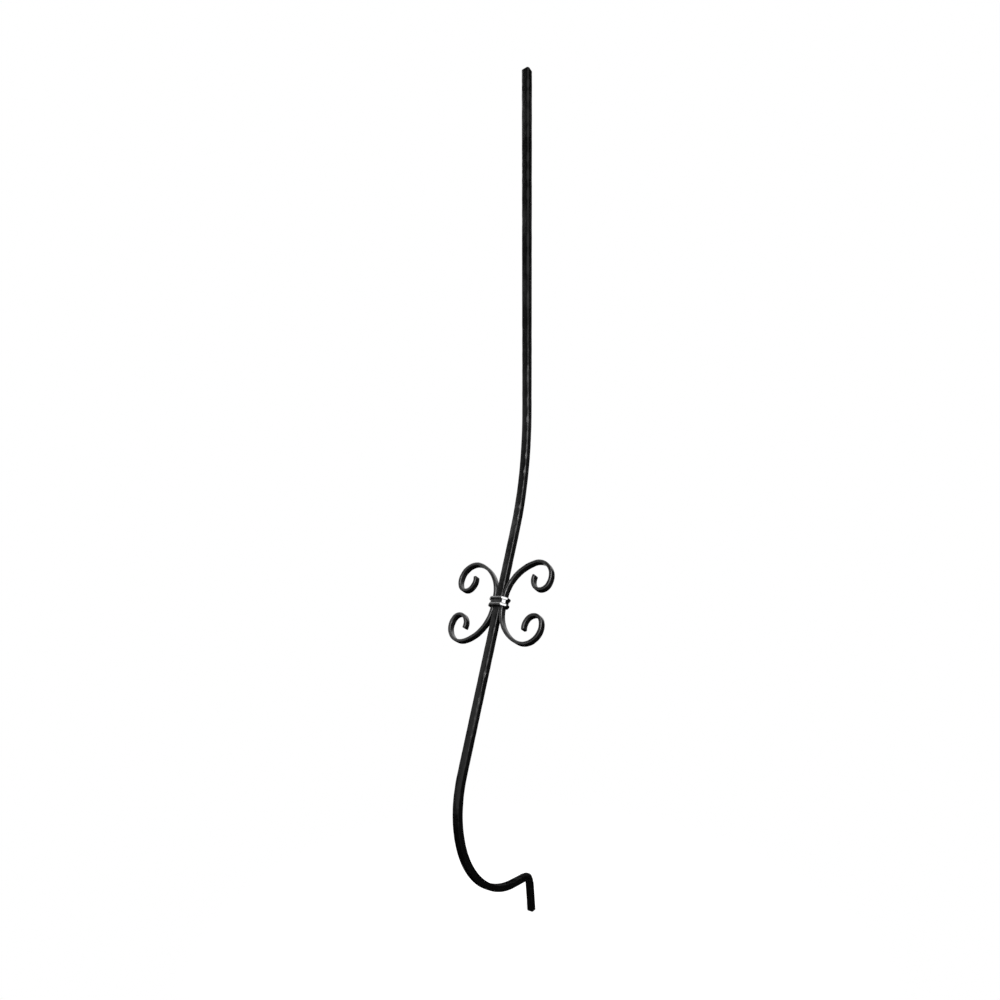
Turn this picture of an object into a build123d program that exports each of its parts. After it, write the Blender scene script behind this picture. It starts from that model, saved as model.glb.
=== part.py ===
from build123d import *
from math import cos, radians, sin, sqrt
import os

os.makedirs("parts", exist_ok=True)

# Millimetres and degrees. +Z is up and +X runs along the railing.
# The belly bulges towards -Y. The origin is the middle of the foot's lower end.

# The square bar
overall_height = 1100.0
bar_size = 10.0
bar_corner_radius = 0.8
end_chamfer = 0.4
top_bend_radius = 420.0
slope_angle = 22.3
slope_length = 325.5
belly_radius = 139.0
belly_angle = 67.6
under_radius = 144.0
under_angle = 37.5
under_length = 37.6
hook_radius = 12.0
foot_lean_angle = 6.8
foot_length = 52.1

# The flat bar of the scrolls
band_thickness = 4.5
band_edge_chamfer = 0.9
back_radius = 49.0
back_angle = 72.0
outer_curl_radius = 21.7
outer_curl_angle = 133.0
middle_curl_radius = 11.2
middle_curl_angle = 115.0
inner_curl_radius = 16.3
inner_curl_angle = 58.0

# The collar
collar_distance = 99.3
collar_height = 13.0
collar_ridge_height = 4.4
collar_ridge_wall = 4.3
collar_groove_wall = 2.6
collar_corner_cut = 4.7
collar_ridge_roundness = 0.43
collar_clearance = 0.0
seam_width = 0.8

# Values worked out from the sizes above
hook_angle = belly_angle + under_angle - slope_angle - foot_lean_angle
scroll_back_middle = bar_size / 2 + band_thickness / 2
band_width = bar_size
inside_width = bar_size + 2 * band_thickness + 2 * collar_clearance
inside_depth = bar_size + 2 * collar_clearance
ridge_depth = collar_ridge_wall - collar_groove_wall
ridge_round = collar_ridge_roundness * collar_ridge_height
ridge_middle = (collar_height - collar_ridge_height) / 2

# A run of a bent bar is (length,) for a straight and (radius, turn) for a bend.
# A positive turn goes anticlockwise.
lower_runs = [
    (top_bend_radius, -slope_angle),
    (slope_length,),
    (belly_radius, belly_angle),
    (under_radius, under_angle),
    (under_length,),
    (hook_radius, -hook_angle),
    (foot_length,),
]
half_scroll_runs = [
    (collar_height / 2,),
    (back_radius, -back_angle),
    (outer_curl_radius, -outer_curl_angle),
    (middle_curl_radius, -middle_curl_angle),
    (inner_curl_radius, -inner_curl_angle),
]


def mirrored(runs):
    # the same runs with every bend turned the other way
    return [run if len(run) == 1 else (run[0], -run[1]) for run in runs]


def follow_runs(runs, heading):
    # how far the runs go from their start, and the heading they end on
    across = 0.0
    along = 0.0
    for run in runs:
        if len(run) == 1:
            across += run[0] * cos(radians(heading))
            along += run[0] * sin(radians(heading))
        else:
            radius, turn = run
            chord = 2 * radius * sin(radians(abs(turn)) / 2)
            across += chord * cos(radians(heading + turn / 2))
            along += chord * sin(radians(heading + turn / 2))
            heading += turn
    return across, along, heading


def draw_side(start, heading, runs, offset):
    # one edge of the bent bar, offset to the left of its middle line
    place = Vector(
        start[0] - offset * sin(radians(heading)),
        start[1] + offset * cos(radians(heading)),
    )
    first = place
    for run in runs:
        direction = Vector(cos(radians(heading)), sin(radians(heading)))
        if len(run) == 1:
            piece = Line(place, place + direction * run[0])
        else:
            radius, turn = run
            side = 1 if turn > 0 else -1
            piece = JernArc(start=place, tangent=direction, radius=radius - side * offset, arc_size=turn)
            heading += turn
        place = piece @ 1
    return first, place


def draw_bent_outline(start, heading, runs, width):
    # the closed outline of a bar of one width with square ends
    left_start, left_end = draw_side(start, heading, runs, width / 2)
    right_start, right_end = draw_side(start, heading, runs, -width / 2)
    Line(left_start, right_start)
    Line(left_end, right_end)


def long_edges(solid, across, ends):
    # the edges that run along the bar, without those across it or round its end faces
    end_edges = [edge for face in ends for edge in face.edges()]
    found = []
    for edge in solid.edges():
        lies_across = abs(edge.tangent_at(0.5).dot(across)) > 0.9
        at_an_end = any((edge.center() - other.center()).length < 0.01 for other in end_edges)
        if not lies_across and not at_an_end:
            found.append(edge)
    return found


# The middle line below the straight top, with its end set on the origin
lower_across, lower_along, foot_heading = follow_runs(lower_runs, -90.0)
top_y = -lower_across
top_straight = overall_height + lower_along
bar_runs = [(top_straight,)] + lower_runs[:-1] + [(foot_length + bar_size,)]

with BuildPart() as curved_bar:
    side_plane = Plane(origin=(0, 0, 0), x_dir=(0, 1, 0), z_dir=(1, 0, 0))
    with BuildSketch(side_plane) as bar_sketch:
        with BuildLine() as bar_outline:
            draw_bent_outline((top_y, overall_height), -90.0, bar_runs, bar_size)
        make_face()
    extrude(amount=bar_size / 2, both=True)
    # the foot is cut level, so that it can stand on a tread or a bottom rail
    split(bisect_by=Plane.XY, keep=Keep.TOP)
    bar_ends = [curved_bar.faces().sort_by(Axis.Z)[-1], curved_bar.faces().sort_by(Axis.Z)[0]]
    fillet(long_edges(curved_bar, Vector(1, 0, 0), bar_ends), bar_corner_radius)
    chamfer(curved_bar.faces().sort_by(Axis.Z)[-1].edges(), end_chamfer)
    chamfer(curved_bar.faces().sort_by(Axis.Z)[0].edges(), end_chamfer)
curved_bar.part.label = "curved_bar"
export_step(curved_bar.part, "parts/curved_bar.step")

# The collar's middle, on the bar's middle line a little way down the slope
slope_y = top_y - top_bend_radius * (1 - cos(radians(slope_angle)))
slope_z = overall_height - top_straight - top_bend_radius * sin(radians(slope_angle))
collar_centre = (
    0,
    slope_y - collar_distance * sin(radians(slope_angle)),
    slope_z - collar_distance * cos(radians(slope_angle)),
)
front_normal = (0, -cos(radians(slope_angle)), sin(radians(slope_angle)))
up_the_slope = (0, sin(radians(slope_angle)), cos(radians(slope_angle)))
scroll_plane = Plane(origin=collar_centre, x_dir=(1, 0, 0), z_dir=front_normal)
collar_plane = Plane(origin=collar_centre, x_dir=(1, 0, 0), z_dir=up_the_slope)


def tip_faces(solid, side):
    # the two cut ends of a scroll, found from where its middle line ends
    across, along, heading = follow_runs(half_scroll_runs, 90.0)
    found = []
    for half in (1, -1):
        tip = scroll_plane.from_local_coords(Vector(side * (scroll_back_middle + across), half * along, 0))
        found.append(solid.faces().sort_by_distance(tip)[0])
    return found


for name, side in (("left_scroll", -1), ("right_scroll", 1)):
    scroll_runs = half_scroll_runs if side > 0 else mirrored(half_scroll_runs)
    with BuildPart() as scroll:
        with BuildSketch(scroll_plane) as scroll_sketch:
            with BuildLine() as scroll_outline:
                draw_bent_outline((side * scroll_back_middle, 0), 90.0, scroll_runs, band_thickness)
            make_face()
            mirror(about=Plane.XZ)
        extrude(amount=band_width / 2, both=True)
        chamfer(long_edges(scroll, Vector(front_normal), tip_faces(scroll, side)), band_edge_chamfer)
    scroll.part.label = name
    export_step(scroll.part, f"parts/{name}.step")

with BuildPart() as collar:
    # a rounded ridge at each end, its four corners pressed flat
    for ridge_offset in (-ridge_middle, ridge_middle):
        with BuildSketch(collar_plane.offset(ridge_offset)) as ridge_sketch:
            Rectangle(inside_width + 2 * collar_ridge_wall, inside_depth + 2 * collar_ridge_wall)
            chamfer(ridge_sketch.vertices(), collar_corner_cut)
        extrude(amount=collar_ridge_height / 2, both=True)
        new_edges = collar.edges(Select.LAST)
        rim_edges = [edge for edge in new_edges if abs(edge.tangent_at(0.5).dot(Vector(up_the_slope))) < 0.1]
        fillet(rim_edges, ridge_round)
    # the thinner middle, which is the floor of the groove and lies evenly inside the ridges
    with BuildSketch(collar_plane) as groove_sketch:
        Rectangle(inside_width + 2 * collar_groove_wall, inside_depth + 2 * collar_groove_wall)
        chamfer(groove_sketch.vertices(), collar_corner_cut - (2 - sqrt(2)) * ridge_depth)
    extrude(amount=ridge_middle, both=True)
    # the opening for the bar and the two scrolls, and the open seam at the back
    with BuildSketch(collar_plane) as opening_sketch:
        Rectangle(inside_width, inside_depth)
        with Locations((0, inside_depth / 2)):
            Rectangle(seam_width, 4 * collar_ridge_wall)
    extrude(amount=collar_height, both=True, mode=Mode.SUBTRACT)
collar.part.label = "collar"
export_step(collar.part, "parts/collar.step")
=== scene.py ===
import random
from math import acos, atan2, ceil, cos, hypot, pi, radians, sin, sqrt

import bmesh
import bpy
from mathutils import Matrix, Vector, noise


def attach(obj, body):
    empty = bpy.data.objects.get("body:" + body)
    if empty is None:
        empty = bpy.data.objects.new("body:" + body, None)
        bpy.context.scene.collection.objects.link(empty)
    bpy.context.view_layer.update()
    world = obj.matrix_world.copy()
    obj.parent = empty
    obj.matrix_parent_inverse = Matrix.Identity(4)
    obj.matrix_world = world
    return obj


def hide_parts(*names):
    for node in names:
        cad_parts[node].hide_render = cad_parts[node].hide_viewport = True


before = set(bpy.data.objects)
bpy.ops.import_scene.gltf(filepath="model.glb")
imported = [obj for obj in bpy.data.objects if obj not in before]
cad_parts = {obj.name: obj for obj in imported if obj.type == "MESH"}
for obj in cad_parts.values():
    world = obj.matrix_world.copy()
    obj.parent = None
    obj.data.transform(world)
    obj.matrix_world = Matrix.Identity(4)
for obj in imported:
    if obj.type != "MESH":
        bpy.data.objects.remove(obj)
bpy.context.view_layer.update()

scene = bpy.context.scene

# Camera: close, at the height of the collar and to the right of the belly
cameraSpec = {
    "place": (0.4267, -0.7205, 0.4765),
    "turn": 33.77,
    "dip": 9.80,
    "roll": -0.47,
    "lens": 21.14,
    "sensor": 36.0,
    "shiftY": 0.1978,
    "nearest": 0.01,
    "furthest": 50.0,
}


def makeCamera(spec):
    data = bpy.data.cameras.new("camera")
    data.lens = spec["lens"]
    data.sensor_width = spec["sensor"]
    data.shift_y = spec["shiftY"]
    data.clip_start = spec["nearest"]
    data.clip_end = spec["furthest"]
    cam = bpy.data.objects.new("camera", data)
    scene.collection.objects.link(cam)
    turn = Matrix.Rotation(radians(spec["turn"]), 4, "Z")
    dip = Matrix.Rotation(radians(90 - spec["dip"]), 4, "X")
    roll = Matrix.Rotation(radians(spec["roll"]), 4, "Z")
    cam.matrix_world = Matrix.Translation(Vector(spec["place"])) @ turn @ dip @ roll
    scene.camera = cam


makeCamera(cameraSpec)
print("camera placed")


# A socket in a material, so that shader maths reads as ordinary maths
class Wire:
    def __init__(self, tree, socket=None):
        self.tree = tree
        self.socket = socket

    def node(self, kind, settings=None, inputs=None, output=0):
        made = self.tree.nodes.new(kind)
        for name, value in (settings or {}).items():
            setattr(made, name, value)
        for name, value in (inputs or {}).items():
            if isinstance(value, Wire):
                self.tree.links.new(value.socket, made.inputs[name])
            else:
                made.inputs[name].default_value = value
        return Wire(self.tree, made.outputs[output])

    # a Mix node takes its colours at sockets 6 and 7 and gives the colour at output 2
    def mix(self, factor, first, second, blendType="MIX"):
        settings = {"data_type": "RGBA", "blend_type": blendType}
        return self.node("ShaderNodeMix", settings, {0: factor, 6: first, 7: second}, 2)

    # colours and vectors have nodes of their own, because a Math node turns a colour grey
    def maths(self, operation, first, second):
        kinds = [part.socket.type for part in (first, second) if isinstance(part, Wire)]
        if "RGBA" in kinds:
            return self.mix(1.0, first, second, operation)
        if "VECTOR" in kinds:
            numbers = [part for part in (first, second) if isinstance(part, (int, float))]
            if operation == "MULTIPLY" and numbers:
                inputs = {0: self, "Scale": numbers[0]}
                return self.node("ShaderNodeVectorMath", {"operation": "SCALE"}, inputs)
            return self.node("ShaderNodeVectorMath", {"operation": operation}, {0: first, 1: second})
        return self.node("ShaderNodeMath", {"operation": operation}, {0: first, 1: second})

    def __add__(self, other):
        return self.maths("ADD", self, other)

    def __radd__(self, other):
        return self.maths("ADD", other, self)

    def __sub__(self, other):
        return self.maths("SUBTRACT", self, other)

    def __rsub__(self, other):
        return self.maths("SUBTRACT", other, self)

    def __mul__(self, other):
        return self.maths("MULTIPLY", self, other)

    def __rmul__(self, other):
        return self.maths("MULTIPLY", other, self)


def newMaterial(name):
    material = bpy.data.materials.new(name)
    material.use_nodes = True
    tree = material.node_tree
    tree.nodes.clear()
    return material, Wire(tree)


def joinSurface(root, shader):
    final = root.tree.nodes.new("ShaderNodeOutputMaterial")
    root.tree.links.new(shader.socket, final.inputs["Surface"])


def grey(level):
    return (level, level, level, 1.0)


def ease(wire, low, high):
    settings = {"interpolation_type": "SMOOTHSTEP"}
    inputs = {"Value": wire, "From Min": low, "From Max": high}
    return wire.node("ShaderNodeMapRange", settings, inputs)


# Glossy black paint over forged iron. A noise is (scale, detail, roughness),
# and the ranges say where a mask begins and where it is full.
paintSpec = {
    "colour": 0.0045,
    "gloss": 0.26,
    "ior": 1.5,
    "roughness": 0.20,
    "roughnessSpread": 0.16,
    "roughnessRange": (0.3, 0.75),
    "arrisRoughness": 0.12,
    "arrisRange": (0.4, 0.9),
    "peelNoise": (620.0, 2.0, 0.55),
    "peelHeight": 0.000015,
    "hammerNoise": (95.0, 2.0, 0.4),
    "hammerHeight": 0.0005,
    "patchNoise": (34.0, 4.0, 0.55),
    "speckNoise": (1500.0, 2.0, 0.55),
    "speckLevel": 0.6,
    "speckSpread": 0.8,
    "dustColour": 0.055,
    "dustAmount": 0.5,
    "dustRoughness": 0.3,
    "dustUpwardRange": (0.15, 0.95),
    "dustPatchRange": (0.35, 0.7),
    "ironColour": 0.09,
    "rubAmount": 0.55,
    "rubNoise": (140.0, 5.0, 0.7),
    "rubArrisRange": (0.55, 0.95),
    "rubPatchRange": (0.56, 0.68),
    "shiftWay": (1.0, 0.7, 1.3),
}


def blackPaint(name, spec, shift):
    material, root = newMaterial(name)
    # the shift keeps two pieces from having the same marks
    moved = tuple(shift * share for share in spec["shiftWay"])
    place = root.node("ShaderNodeTexCoord", output="Object") + moved

    def cloud(scale, detail, roughness):
        inputs = {"Vector": place, "Scale": scale, "Detail": detail, "Roughness": roughness}
        return root.node("ShaderNodeTexNoise", inputs=inputs)

    patches = cloud(*spec["patchNoise"])
    specks = spec["speckLevel"] + spec["speckSpread"] * cloud(*spec["speckNoise"])
    arris = root.node("ShaderNodeAttribute", {"attribute_name": "arris"}, output="Fac")

    # dust lies on what faces up
    normal = root.node("ShaderNodeNewGeometry", output="Normal")
    upward = root.node("ShaderNodeSeparateXYZ", inputs={"Vector": normal}, output="Z")
    dust = ease(upward, *spec["dustUpwardRange"]) * ease(patches, *spec["dustPatchRange"])
    dust = dust * spec["dustAmount"]
    colour = root.mix(dust * specks, grey(spec["colour"]), grey(spec["dustColour"]))

    # the paint is rubbed through in spots on the arrises
    rubbed = ease(arris, *spec["rubArrisRange"])
    rubbed = rubbed * ease(cloud(*spec["rubNoise"]), *spec["rubPatchRange"]) * spec["rubAmount"]
    colour = root.mix(rubbed, colour, grey(spec["ironColour"]))

    roughness = spec["roughness"] + spec["roughnessSpread"] * ease(patches, *spec["roughnessRange"])
    roughness = roughness + spec["dustRoughness"] * dust
    roughness = roughness + spec["arrisRoughness"] * ease(arris, *spec["arrisRange"])

    # a fine grain in the paint over the broad dents of the hammer
    grain = {"Strength": 1.0, "Distance": spec["peelHeight"], "Height": cloud(*spec["peelNoise"])}
    dents = {
        "Strength": 1.0,
        "Distance": spec["hammerHeight"],
        "Height": cloud(*spec["hammerNoise"]),
        "Normal": root.node("ShaderNodeBump", inputs=grain),
    }
    shader = root.node(
        "ShaderNodeBsdfPrincipled",
        inputs={
            "Base Color": colour,
            "Roughness": roughness,
            "Metallic": rubbed,
            "Normal": root.node("ShaderNodeBump", inputs=dents),
            "IOR": spec["ior"],
            "Specular IOR Level": spec["gloss"],
        },
    )
    joinSurface(root, shader)
    return material


# A run is (length,) for a straight and (radius, angle) for a bend, anticlockwise positive.
# A path is a list of (x, y, heading, distance along), joined by exact chords.
def tracePath(start, heading, runs, step):
    x, y = start
    angle = radians(heading)
    along = 0.0
    points = [(x, y, angle, along)]
    for run in runs:
        turn = 0.0 if len(run) == 1 else radians(run[1])
        length = run[0] if len(run) == 1 else run[0] * abs(turn)
        count = max(2, ceil(length / step))
        chord = length / count if turn == 0.0 else 2 * run[0] * sin(abs(turn) / count / 2)
        for _ in range(count):
            x += chord * cos(angle + turn / count / 2)
            y += chord * sin(angle + turn / count / 2)
            angle += turn / count
            along += length / count
            points.append((x, y, angle, along))
    return points


def reachOf(runs, heading):
    longStep = 1.0  # the chords are exact, so long ones do
    x, y, *_ = tracePath((0.0, 0.0), heading, runs, longStep)[-1]
    return x, y


# How near an arris a point lies: 1 in the middle of the rounding, less on the flat beside it
roundingEdge = 0.5


def roundingNearness(share):
    return 1 - abs(2 * share - 1) * (1 - roundingEdge)


def flatNearness(share):
    return roundingEdge * max(0.0, 1 - 4 * min(share, 1 - share))


# A rounded rectangle as (u, v, how near an arris, which corner), anticlockwise
def roundedProfile(halfU, halfV, radius, arcSteps, flatSteps):
    points = []
    corners = ((1, 1, 0), (-1, 1, 90), (-1, -1, 180), (1, -1, 270))
    for index, (signU, signV, startAngle) in enumerate(corners):
        centreU = signU * (halfU - radius)
        centreV = signV * (halfV - radius)
        for step in range(arcSteps + 1):
            angle = radians(startAngle + 90 * step / arcSteps)
            placeU = centreU + radius * cos(angle)
            placeV = centreV + radius * sin(angle)
            points.append((placeU, placeV, roundingNearness(step / arcSteps), index))
        nextIndex = (index + 1) % len(corners)
        nextU, nextV, _ = corners[nextIndex]
        endAngle = radians(startAngle + 90)
        fromU = centreU + radius * cos(endAngle)
        fromV = centreV + radius * sin(endAngle)
        toU = nextU * (halfU - radius) + radius * cos(endAngle)
        toV = nextV * (halfV - radius) + radius * sin(endAngle)
        for step in range(1, flatSteps):
            share = step / flatSteps
            placeU = fromU + (toU - fromU) * share
            placeV = fromV + (toV - fromV) * share
            corner = index if share < 0.5 else nextIndex
            points.append((placeU, placeV, flatNearness(share), corner))
    return points


# Where the hammer has pressed each of the four arrises: (middle, half length, depth)
def hammerPresses(spec, length):
    rng = random.Random(spec["seed"])
    presses = []
    for share in spec["pressShare"]:
        spots = []
        along = rng.uniform(0, spec["pressGap"])
        while along < length:
            strength = share if along < spec["deepReach"] else min(share, spec["softShare"])
            halfLength = rng.uniform(*spec["pressHalfLength"])
            depth = strength * rng.uniform(*spec["pressDepth"])
            spots.append((along, halfLength, depth))
            along += rng.uniform(*spec["pressGapSpread"]) * spec["pressGap"]
        presses.append(spots)
    return presses


def pressedDepth(spots, along):
    depth = 0.0
    for middle, halfLength, deepest in spots:
        share = (along - middle) / halfLength
        if abs(share) < 1:
            depth = max(depth, deepest * (1 - share * share))
    return depth


# A smooth unevenness between 0 and 1
def unevenness(spot):
    return 0.5 + 0.5 * noise.noise(spot)


# A point of the profile after forging: the corner cut back by a press, the faces crowned and uneven
def forgedPoint(u, v, cut, along, spec):
    halfU, halfV = spec["halfU"], spec["halfV"]
    reach = (abs(u) - halfU + abs(v) - halfV) / sqrt(2)
    limit = -(2 - sqrt(2)) * spec["cornerRadius"] / sqrt(2) - cut
    pull = max(0.0, reach - limit) / sqrt(2)
    moveU = -pull * (1 if u > 0 else -1)
    moveV = -pull * (1 if v > 0 else -1)
    outU = u / halfU
    outV = v / halfV
    spot = Vector((along * spec["swayScale"], u * spec["swayAcross"], v * spec["swayAcross"]))
    sway = spec["sway"] * unevenness(spot)
    moveU -= outU ** spec["facePower"] * (sway + spec["crown"] * outV ** 2)
    moveV -= outV ** spec["facePower"] * (sway + spec["crown"] * outU ** 2)
    return u + moveU, v + moveV


def finishMesh(name, mesh, sharpAngle):
    bmesh.ops.recalc_face_normals(mesh, faces=mesh.faces)
    data = bpy.data.meshes.new(name)
    mesh.to_mesh(data)
    mesh.free()
    data.shade_smooth()
    data.set_sharp_from_angle(angle=radians(sharpAngle))
    made = bpy.data.objects.new(name, data)
    scene.collection.objects.link(made)
    return made


# One bent bar: rings of the forged profile along the path, closed by eased ends.
# Every change to the profile goes inwards, so the bar stays inside its solid.
def forgeBar(name, path, toWorld, spec):
    halfU, halfV, radius = spec["halfU"], spec["halfV"], spec["cornerRadius"]
    profile = roundedProfile(halfU, halfV, radius, spec["arcSteps"], spec["flatSteps"])
    presses = hammerPresses(spec, path[-1][3])
    for corner, spot in spec["bluntSpots"]:
        presses[corner].append(spot)
    # each end has a smaller ring, and the full ring beside it stands an ease's length further in
    endEase = spec["endEase"]
    stations = [
        (path[0], endEase, 0.0),
        (path[0], 0.0, endEase),
        *[(point, 0.0, 0.0) for point in path[1:-1]],
        (path[-1], 0.0, -endEase),
        (path[-1], endEase, 0.0),
    ]
    mesh = bmesh.new()
    arrisLayer = mesh.verts.layers.float.new("arris")
    rings = []
    for point, inset, back in stations:
        x, y, angle, along = point
        x += back * cos(angle)
        y += back * sin(angle)
        ring = []
        for u, v, nearness, corner in profile:
            cut = pressedDepth(presses[corner], along)
            forgedU, forgedV = forgedPoint(u, v, cut, along, spec)
            placeU = forgedU * (1 - inset / halfU)
            placeV = forgedV * (1 - inset / halfV)
            placeX = x - placeU * sin(angle)
            placeY = y + placeU * cos(angle)
            vert = mesh.verts.new(toWorld(placeX, placeY, placeV, angle, point, back))
            if nearness > spec["wearStart"]:
                nearness += spec["pressWear"] * cut / spec["pressDepth"][1]
            vert[arrisLayer] = nearness
            ring.append(vert)
        rings.append(ring)
    size = len(profile)
    for first, second in zip(rings, rings[1:]):
        for index in range(size):
            after = (index + 1) % size
            mesh.faces.new((first[index], first[after], second[after], second[index]))
    mesh.faces.new(list(reversed(rings[0])))
    mesh.faces.new(rings[-1])
    return finishMesh(name, mesh, spec["sharpAngle"])


# The bar's middle line, with the same bends as the solid's
barSpec = {
    "height": 1.100,
    "topBendRadius": 0.420,
    "slopeAngle": 22.3,
    "slopeLength": 0.3255,
    "bellyRadius": 0.139,
    "bellyAngle": 67.6,
    "underRadius": 0.144,
    "underAngle": 37.5,
    "underLength": 0.0376,
    "hookRadius": 0.012,
    "footLeanAngle": 6.8,
    "footLength": 0.0521,
    "halfU": 0.005,
    "halfV": 0.005,
    "cornerRadius": 0.00085,
    "arcSteps": 6,
    "flatSteps": 6,
    "endEase": 0.0004,
    "step": 0.002,
    "sharpAngle": 32,
    "seed": 11,
    "pressGap": 0.014,
    "pressGapSpread": (0.5, 1.6),
    "pressHalfLength": (0.007, 0.014),
    "pressDepth": (0.0003, 0.0011),
    "pressShare": (0.2, 1.0, 0.2, 0.2),
    "pressWear": 0.35,
    "wearStart": 0.3,
    "deepReach": 0.84,
    "softShare": 0.2,
    "hookBlunting": (0.014, 0.0016),
    "crown": 0.00022,
    "facePower": 5,
    "sway": 0.00016,
    "swayScale": 55.0,
    "swayAcross": 110.0,
    "paintShift": 0.0,
}


def hookAngleOf(spec):
    return spec["bellyAngle"] + spec["underAngle"] - spec["slopeAngle"] - spec["footLeanAngle"]


def barRuns(spec):
    return [
        (spec["topBendRadius"], -spec["slopeAngle"]),
        (spec["slopeLength"],),
        (spec["bellyRadius"], spec["bellyAngle"]),
        (spec["underRadius"], spec["underAngle"]),
        (spec["underLength"],),
        (spec["hookRadius"], -hookAngleOf(spec)),
        (spec["footLength"],),
    ]


lowerRuns = barRuns(barSpec)
acrossReach, downReach = reachOf(lowerRuns, -90.0)
topY = -acrossReach
topStraight = barSpec["height"] + downReach


def makeBar(spec):
    path = tracePath((topY, spec["height"]), -90.0, [(topStraight,)] + lowerRuns, spec["step"])
    footEnd = path[-1]

    # the foot is cut level, so its last rings slide along the lean to one height
    def toWorld(y, z, x, angle, point, back):
        if point is footEnd:
            level = -back
            slide = (level - z) / sin(angle)
            y += slide * cos(angle)
            z = level
        return (x, y, z)

    # the hook's two outer arrises are blunted by the bending
    hookLength = spec["hookRadius"] * radians(hookAngleOf(spec))
    hookMiddle = path[-1][3] - spec["footLength"] - hookLength / 2
    hookSpot = (hookMiddle, *spec["hookBlunting"])
    own = dict(spec, bluntSpots=((0, hookSpot), (3, hookSpot)))
    bar = forgeBar("forgedBar", path, toWorld, own)
    bar.data.materials.append(blackPaint("barPaint", paintSpec, spec["paintShift"]))
    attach(bar, "root")
    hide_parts("curved_bar")


makeBar(barSpec)
print("bar made")

# The two scrolls, each one flat bar curled at both ends
scrollSpec = {
    "collarDistance": 0.0993,
    "collarHalfHeight": 0.0065,
    "backRadius": 0.049,
    "backAngle": 72.0,
    "outerRadius": 0.0217,
    "outerAngle": 133.0,
    "middleRadius": 0.0112,
    "middleAngle": 115.0,
    "innerRadius": 0.0163,
    "innerAngle": 58.0,
    "halfU": 0.00225,
    "halfV": 0.005,
    "cornerRadius": 0.0013,
    "arcSteps": 6,
    "flatSteps": 4,
    "endEase": 0.0006,
    "step": 0.0011,
    "sharpAngle": 32,
    "seed": 5,
    "pressGap": 0.016,
    "pressGapSpread": (0.5, 1.6),
    "pressHalfLength": (0.003, 0.008),
    "pressDepth": (0.00008, 0.0003),
    "pressShare": (1.0, 1.0, 1.0, 1.0),
    "pressWear": 0.35,
    "wearStart": 0.3,
    "deepReach": 1.0,
    "softShare": 1.0,
    "bluntSpots": (),
    "crown": 0.0001,
    "facePower": 5,
    "sway": 0.0001,
    "swayScale": 70.0,
    "swayAcross": 150.0,
    "paint": {"gloss": 0.65},
    "paintShift": 0.37,
}

slopeTilt = radians(barSpec["slopeAngle"])
slopeUp = Vector((0, sin(slopeTilt), cos(slopeTilt)))
slopeFront = Vector((0, -cos(slopeTilt), sin(slopeTilt)))
slopeStart = Vector((
    0,
    topY - barSpec["topBendRadius"] * (1 - cos(slopeTilt)),
    barSpec["height"] - topStraight - barSpec["topBendRadius"] * sin(slopeTilt),
))
collarCentre = slopeStart - slopeUp * scrollSpec["collarDistance"]


def makeScroll(name, node, side, spec, number):
    halfRuns = [
        (spec["collarHalfHeight"],),
        (spec["backRadius"], -side * spec["backAngle"]),
        (spec["outerRadius"], -side * spec["outerAngle"]),
        (spec["middleRadius"], -side * spec["middleAngle"]),
        (spec["innerRadius"], -side * spec["innerAngle"]),
    ]
    backMiddle = barSpec["halfU"] + spec["halfU"]
    upper = tracePath((side * backMiddle, 0.0), 90.0, halfRuns, spec["step"])
    total = upper[-1][3]
    lower = [(x, -y, pi - angle, total - along) for x, y, angle, along in reversed(upper)]
    path = lower + [(x, y, angle, total + along) for x, y, angle, along in upper[1:]]

    def toWorld(x, y, v, *_):
        return collarCentre + Vector((x, 0, 0)) + slopeUp * y + slopeFront * v

    # each scroll has presses and paint marks of its own
    own = dict(spec, seed=spec["seed"] + number)
    band = forgeBar(name, path, toWorld, own)
    paint = dict(paintSpec, **spec["paint"])
    band.data.materials.append(blackPaint(name + "Paint", paint, spec["paintShift"] * (number + 1)))
    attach(band, "root")
    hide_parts(node)


makeScroll("leftScrollBand", "left_scroll", -1, scrollSpec, 0)
makeScroll("rightScrollBand", "right_scroll", 1, scrollSpec, 1)
print("scrolls made")

# The collar: one pressed ring with a ridge at each end, a groove between them and a seam at its back
collarSpec = {
    "insideHalfX": 0.0095,
    "insideHalfY": 0.005,
    "insideCut": 0.0001,
    "insideRadius": 0.00004,
    "height": 0.013,
    "ridgeHeight": 0.0044,
    "ridgeWall": 0.0043,
    "ridgeRound": 0.0019,
    "grooveWall": 0.0026,
    "grooveNearness": 0.4,
    "cornerCut": 0.0047,
    "cornerRadius": 0.0009,
    "cornerBend": 45,
    "bendSetBack": 0.4142,
    "hardPress": 0.0018,
    "seam": 0.0008,
    "arcSteps": 4,
    "flatSteps": 7,
    "roundSteps": 6,
    "sharpAngle": 40,
    "sway": 0.00008,
    "swayScale": 260.0,
    "paint": {
        "gloss": 0.8,
        "roughness": 0.11,
        "roughnessSpread": 0.06,
        "arrisRoughness": 0.0,
        "peelHeight": 0.00002,
        "hammerHeight": 0.00015,
    },
    "paintShift": 1.9,
}


# The corner cut that keeps a thinner wall's pressed corner evenly inside the ridge's
def evenCut(spec, wall):
    return spec["cornerCut"] - (2 - sqrt(2)) * (spec["ridgeWall"] - wall)


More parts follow.
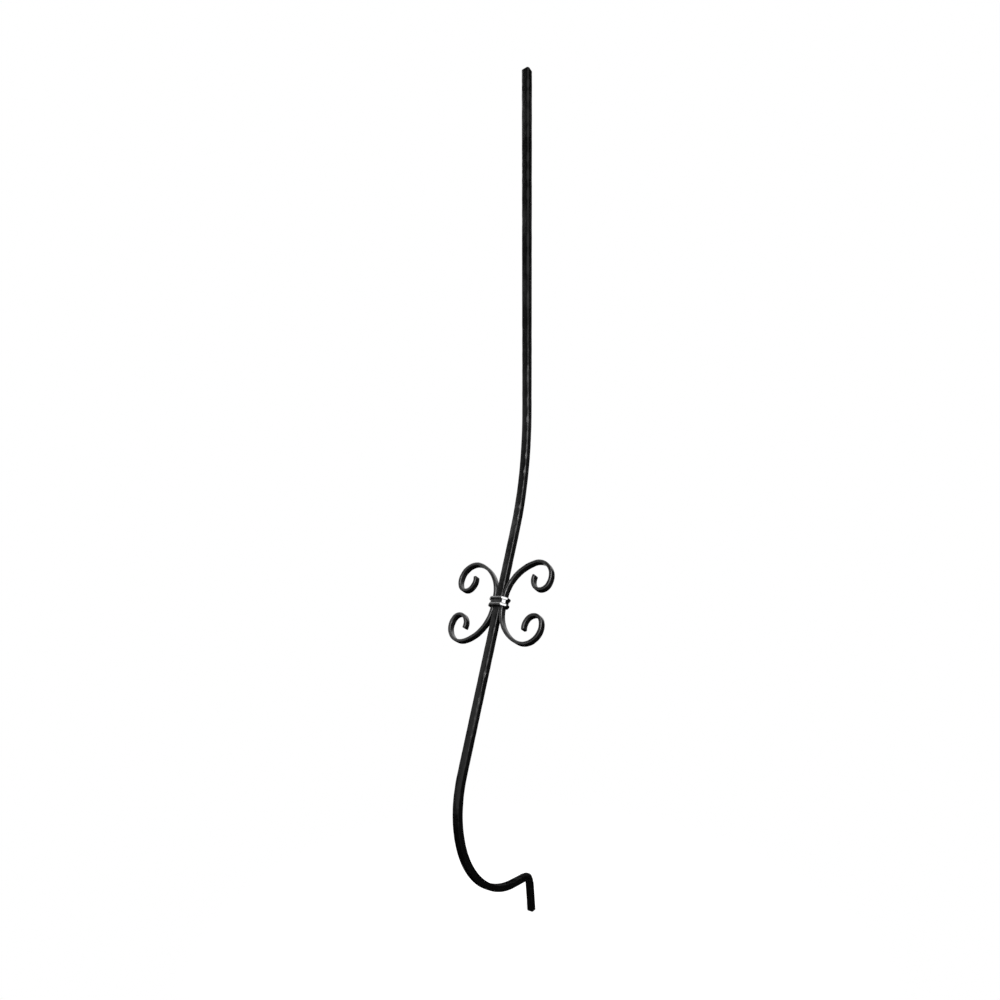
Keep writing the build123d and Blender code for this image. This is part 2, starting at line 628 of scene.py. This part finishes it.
# One level of the ring, from the seam's one side round to its other: (x, y, how near a pressed corner)
def collarOutline(spec, wall):
    halfX = spec["insideHalfX"] + wall
    halfY = spec["insideHalfY"] + wall
    cut = evenCut(spec, wall) if wall > 0 else spec["insideCut"]
    radius = spec["cornerRadius"] if wall > 0 else spec["insideRadius"]
    # the front right corner is pressed harder, until its ridges lie nearly level with the groove
    ridgeShare = max(0.0, (wall - spec["grooveWall"]) / (spec["ridgeWall"] - spec["grooveWall"]))
    pressed = cut + ridgeShare * spec["hardPress"]
    seamHalf = spec["seam"] / 2
    corners = [
        (seamHalf, halfY),
        (halfX - cut, halfY), (halfX, halfY - cut),
        (halfX, pressed - halfY), (halfX - pressed, -halfY),
        (cut - halfX, -halfY), (-halfX, cut - halfY),
        (-halfX, halfY - cut), (cut - halfX, halfY),
        (-seamHalf, halfY),
    ]
    points = [(seamHalf, halfY, 0.0)]
    setBack = radius * spec["bendSetBack"]  # a rounding starts this far before its corner
    for index in range(1, len(corners)):
        last = Vector(corners[index - 1])
        here = Vector(corners[index])
        way = (here - last).normalized()
        isEnd = index == len(corners) - 1
        fromPlace = last if index == 1 else last + way * setBack
        toPlace = here if isEnd else here - way * setBack
        for step in range(1, spec["flatSteps"] + 1):
            place = fromPlace.lerp(toPlace, step / spec["flatSteps"])
            points.append((place.x, place.y, 0.0))
        if not isEnd:
            centre = toPlace + Vector((way.y, -way.x)) * radius
            startAngle = atan2((toPlace - centre).y, (toPlace - centre).x)
            for step in range(1, spec["arcSteps"] + 1):
                angle = startAngle - radians(spec["cornerBend"]) * step / spec["arcSteps"]
                x = centre.x + radius * cos(angle)
                y = centre.y + radius * sin(angle)
                points.append((x, y, roundingNearness(step / spec["arcSteps"])))
    return points


# The ring's cross-section as (wall, height): up its outside, then down its inside
def collarSection(spec):
    half = spec["height"] / 2
    rounding = spec["ridgeRound"]
    flatWall = spec["ridgeWall"] - rounding
    lastAngle = acos((spec["grooveWall"] - flatWall) / rounding)
    lower = []
    for step in range(spec["roundSteps"] + 1):
        angle = radians(-90) + radians(90) * step / spec["roundSteps"]
        lower.append((flatWall + rounding * cos(angle), -half + rounding + rounding * sin(angle)))
    for step in range(spec["roundSteps"] + 1):
        angle = lastAngle * step / spec["roundSteps"]
        level = -half + spec["ridgeHeight"] - rounding + rounding * sin(angle)
        lower.append((flatWall + rounding * cos(angle), level))
    upper = [(wall, -level) for wall, level in reversed(lower)]
    inner = [(0.0, half), (0.0, 0.0), (0.0, -half)]
    return lower + [(spec["grooveWall"], 0.0)] + upper + inner


def makeCollar(spec):
    mesh = bmesh.new()
    arrisLayer = mesh.verts.layers.float.new("arris")
    rows = []
    for wall, level in collarSection(spec):
        row = []
        for x, y, nearness in collarOutline(spec, wall):
            if wall > 0:
                spot = Vector((x, y, level)) * spec["swayScale"]
                inward = spec["sway"] * unevenness(spot) / hypot(x, y)
                x -= x * inward
                y -= y * inward
            place = collarCentre + Vector((x, 0, 0)) - slopeFront * y + slopeUp * level
            vert = mesh.verts.new(place)
            isRidge = wall > spec["grooveWall"]
            vert[arrisLayer] = nearness if isRidge else spec["grooveNearness"] * nearness
            row.append(vert)
        rows.append(row)
    for first, second in zip(rows, rows[1:] + rows[:1]):
        for index in range(len(first) - 1):
            mesh.faces.new((first[index], first[index + 1], second[index + 1], second[index]))
    mesh.faces.new([row[0] for row in rows])
    mesh.faces.new([row[-1] for row in reversed(rows)])
    ring = finishMesh("pressedCollar", mesh, spec["sharpAngle"])
    paint = dict(paintSpec, **spec["paint"])
    ring.data.materials.append(blackPaint("collarPaint", paint, spec["paintShift"]))
    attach(ring, "root")
    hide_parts("collar")


makeCollar(collarSpec)
print("collar made")

# Studio: white surroundings, and a pale floor that keeps the shadow and fades into them
studioSpec = {
    "fill": 0.26,
    "floorSize": 6.0,
    "floorGlow": 0.70,
    "floorFade": (0.16, 0.50),
    "floorColour": 0.88,
    "aim": (0.0, -0.08, 0.47),
}

# Soft lights: (place, width and height, power)
lightSpec = {
    "glintLight": ((0.355, -0.267, 0.705), (0.13, 0.38), 2.6),
    "overLight": ((-0.72, -0.30, 1.50), (0.50, 0.50), 4.0),
}

# Dark cards seen only in the gloss: (place, width and height, the point that the card faces)
cardSpec = {
    "backCard": ((0.53, 0.36, 0.86), (0.90, 1.7), (0.53, -0.08, 0.86)),
    "lowCard": ((-0.30, 0.36, 0.20), (0.86, 0.42), (-0.30, -0.08, 0.20)),
    "floorCard": ((0.0, -0.25, 0.0015), (1.8, 1.5), (0.0, -0.25, 1.0)),
    "highCard": ((-0.50, -0.80, 1.64), (1.2, 1.08), (0.0, 0.0, 1.64)),
    "beltCard": ((-0.706, -0.766, 0.36), (0.38, 0.72), (0.0, -0.13, 0.36)),
    "neckCard": ((-0.352, -0.885, 0.97), (0.38, 0.30), (0.0, -0.013, 0.97)),
}


# 1 for the rays that show the surroundings themselves, 0 for those that light the part
def shownRays(root):
    shown = root.node("ShaderNodeLightPath", output="Is Camera Ray")
    for kind in ("Is Glossy Ray", "Is Transmission Ray"):
        other = root.node("ShaderNodeLightPath", output=kind)
        shown = root.node("ShaderNodeMath", {"operation": "MAXIMUM"}, {0: shown, 1: other})
    return shown


def makeWorld(spec):
    world = bpy.data.worlds.new("world")
    scene.world = world
    world.use_nodes = True
    world.node_tree.nodes.clear()
    root = Wire(world.node_tree)
    strength = spec["fill"] + (1 - spec["fill"]) * shownRays(root)
    inputs = {"Color": grey(1.0), "Strength": strength}
    background = root.node("ShaderNodeBackground", inputs=inputs)
    final = root.tree.nodes.new("ShaderNodeOutputWorld")
    root.tree.links.new(background.socket, final.inputs["Surface"])


def makeSheet(name, width, height):
    x, y = width / 2, height / 2
    data = bpy.data.meshes.new(name)
    data.from_pydata([(-x, -y, 0), (x, -y, 0), (x, y, 0), (-x, y, 0)], [], [(0, 1, 2, 3)])
    sheet = bpy.data.objects.new(name, data)
    scene.collection.objects.link(sheet)
    return sheet


def makeFloor(spec):
    floor = makeSheet("floor", spec["floorSize"], spec["floorSize"])
    material, root = newMaterial("floorPaper")
    paper = root.node("ShaderNodeBsdfDiffuse", inputs={"Color": grey(spec["floorColour"])})
    inputs = {"Color": grey(1.0), "Strength": spec["floorGlow"]}
    glow = root.node("ShaderNodeEmission", inputs=inputs)
    lit = root.node("ShaderNodeAddShader", inputs={0: paper, 1: glow})
    near = root.node("ShaderNodeMixShader", inputs={0: shownRays(root), 1: paper, 2: lit})
    clear = root.node("ShaderNodeBsdfTransparent")
    place = root.node("ShaderNodeTexCoord", output="Object")
    away = root.node("ShaderNodeVectorMath", {"operation": "LENGTH"}, {0: place}, "Value")
    fade = ease(away, *spec["floorFade"])
    joinSurface(root, root.node("ShaderNodeMixShader", inputs={0: fade, 1: near, 2: clear}))
    floor.data.materials.append(material)


def aimAt(target, place):
    return (Vector(target) - Vector(place)).to_track_quat("-Z", "Y").to_euler()


def makeLight(name, place, size, power, aim):
    data = bpy.data.lights.new(name, "AREA")
    data.shape = "RECTANGLE"
    data.size, data.size_y = size
    data.energy = power
    light = bpy.data.objects.new(name, data)
    light.location = place
    light.rotation_euler = aimAt(aim, place)
    light.visible_camera = False
    scene.collection.objects.link(light)


def makeCard(name, place, size, aim):
    card = makeSheet(name, *size)
    card.location = place
    card.rotation_euler = aimAt(aim, place)
    card.visible_camera = False
    card.visible_diffuse = False
    card.visible_shadow = False
    card.visible_transmission = False
    material, root = newMaterial(name + "Black")
    joinSurface(root, root.node("ShaderNodeBsdfDiffuse", inputs={"Color": grey(0.0)}))
    card.data.materials.append(material)


makeWorld(studioSpec)
makeFloor(studioSpec)
for lightName, (lightPlace, lightSize, lightPower) in lightSpec.items():
    makeLight(lightName, lightPlace, lightSize, lightPower, studioSpec["aim"])
for cardName, (cardPlace, cardSize, cardAim) in cardSpec.items():
    makeCard(cardName, cardPlace, cardSize, cardAim)
scene.view_settings.view_transform = "Standard"
print("studio made")
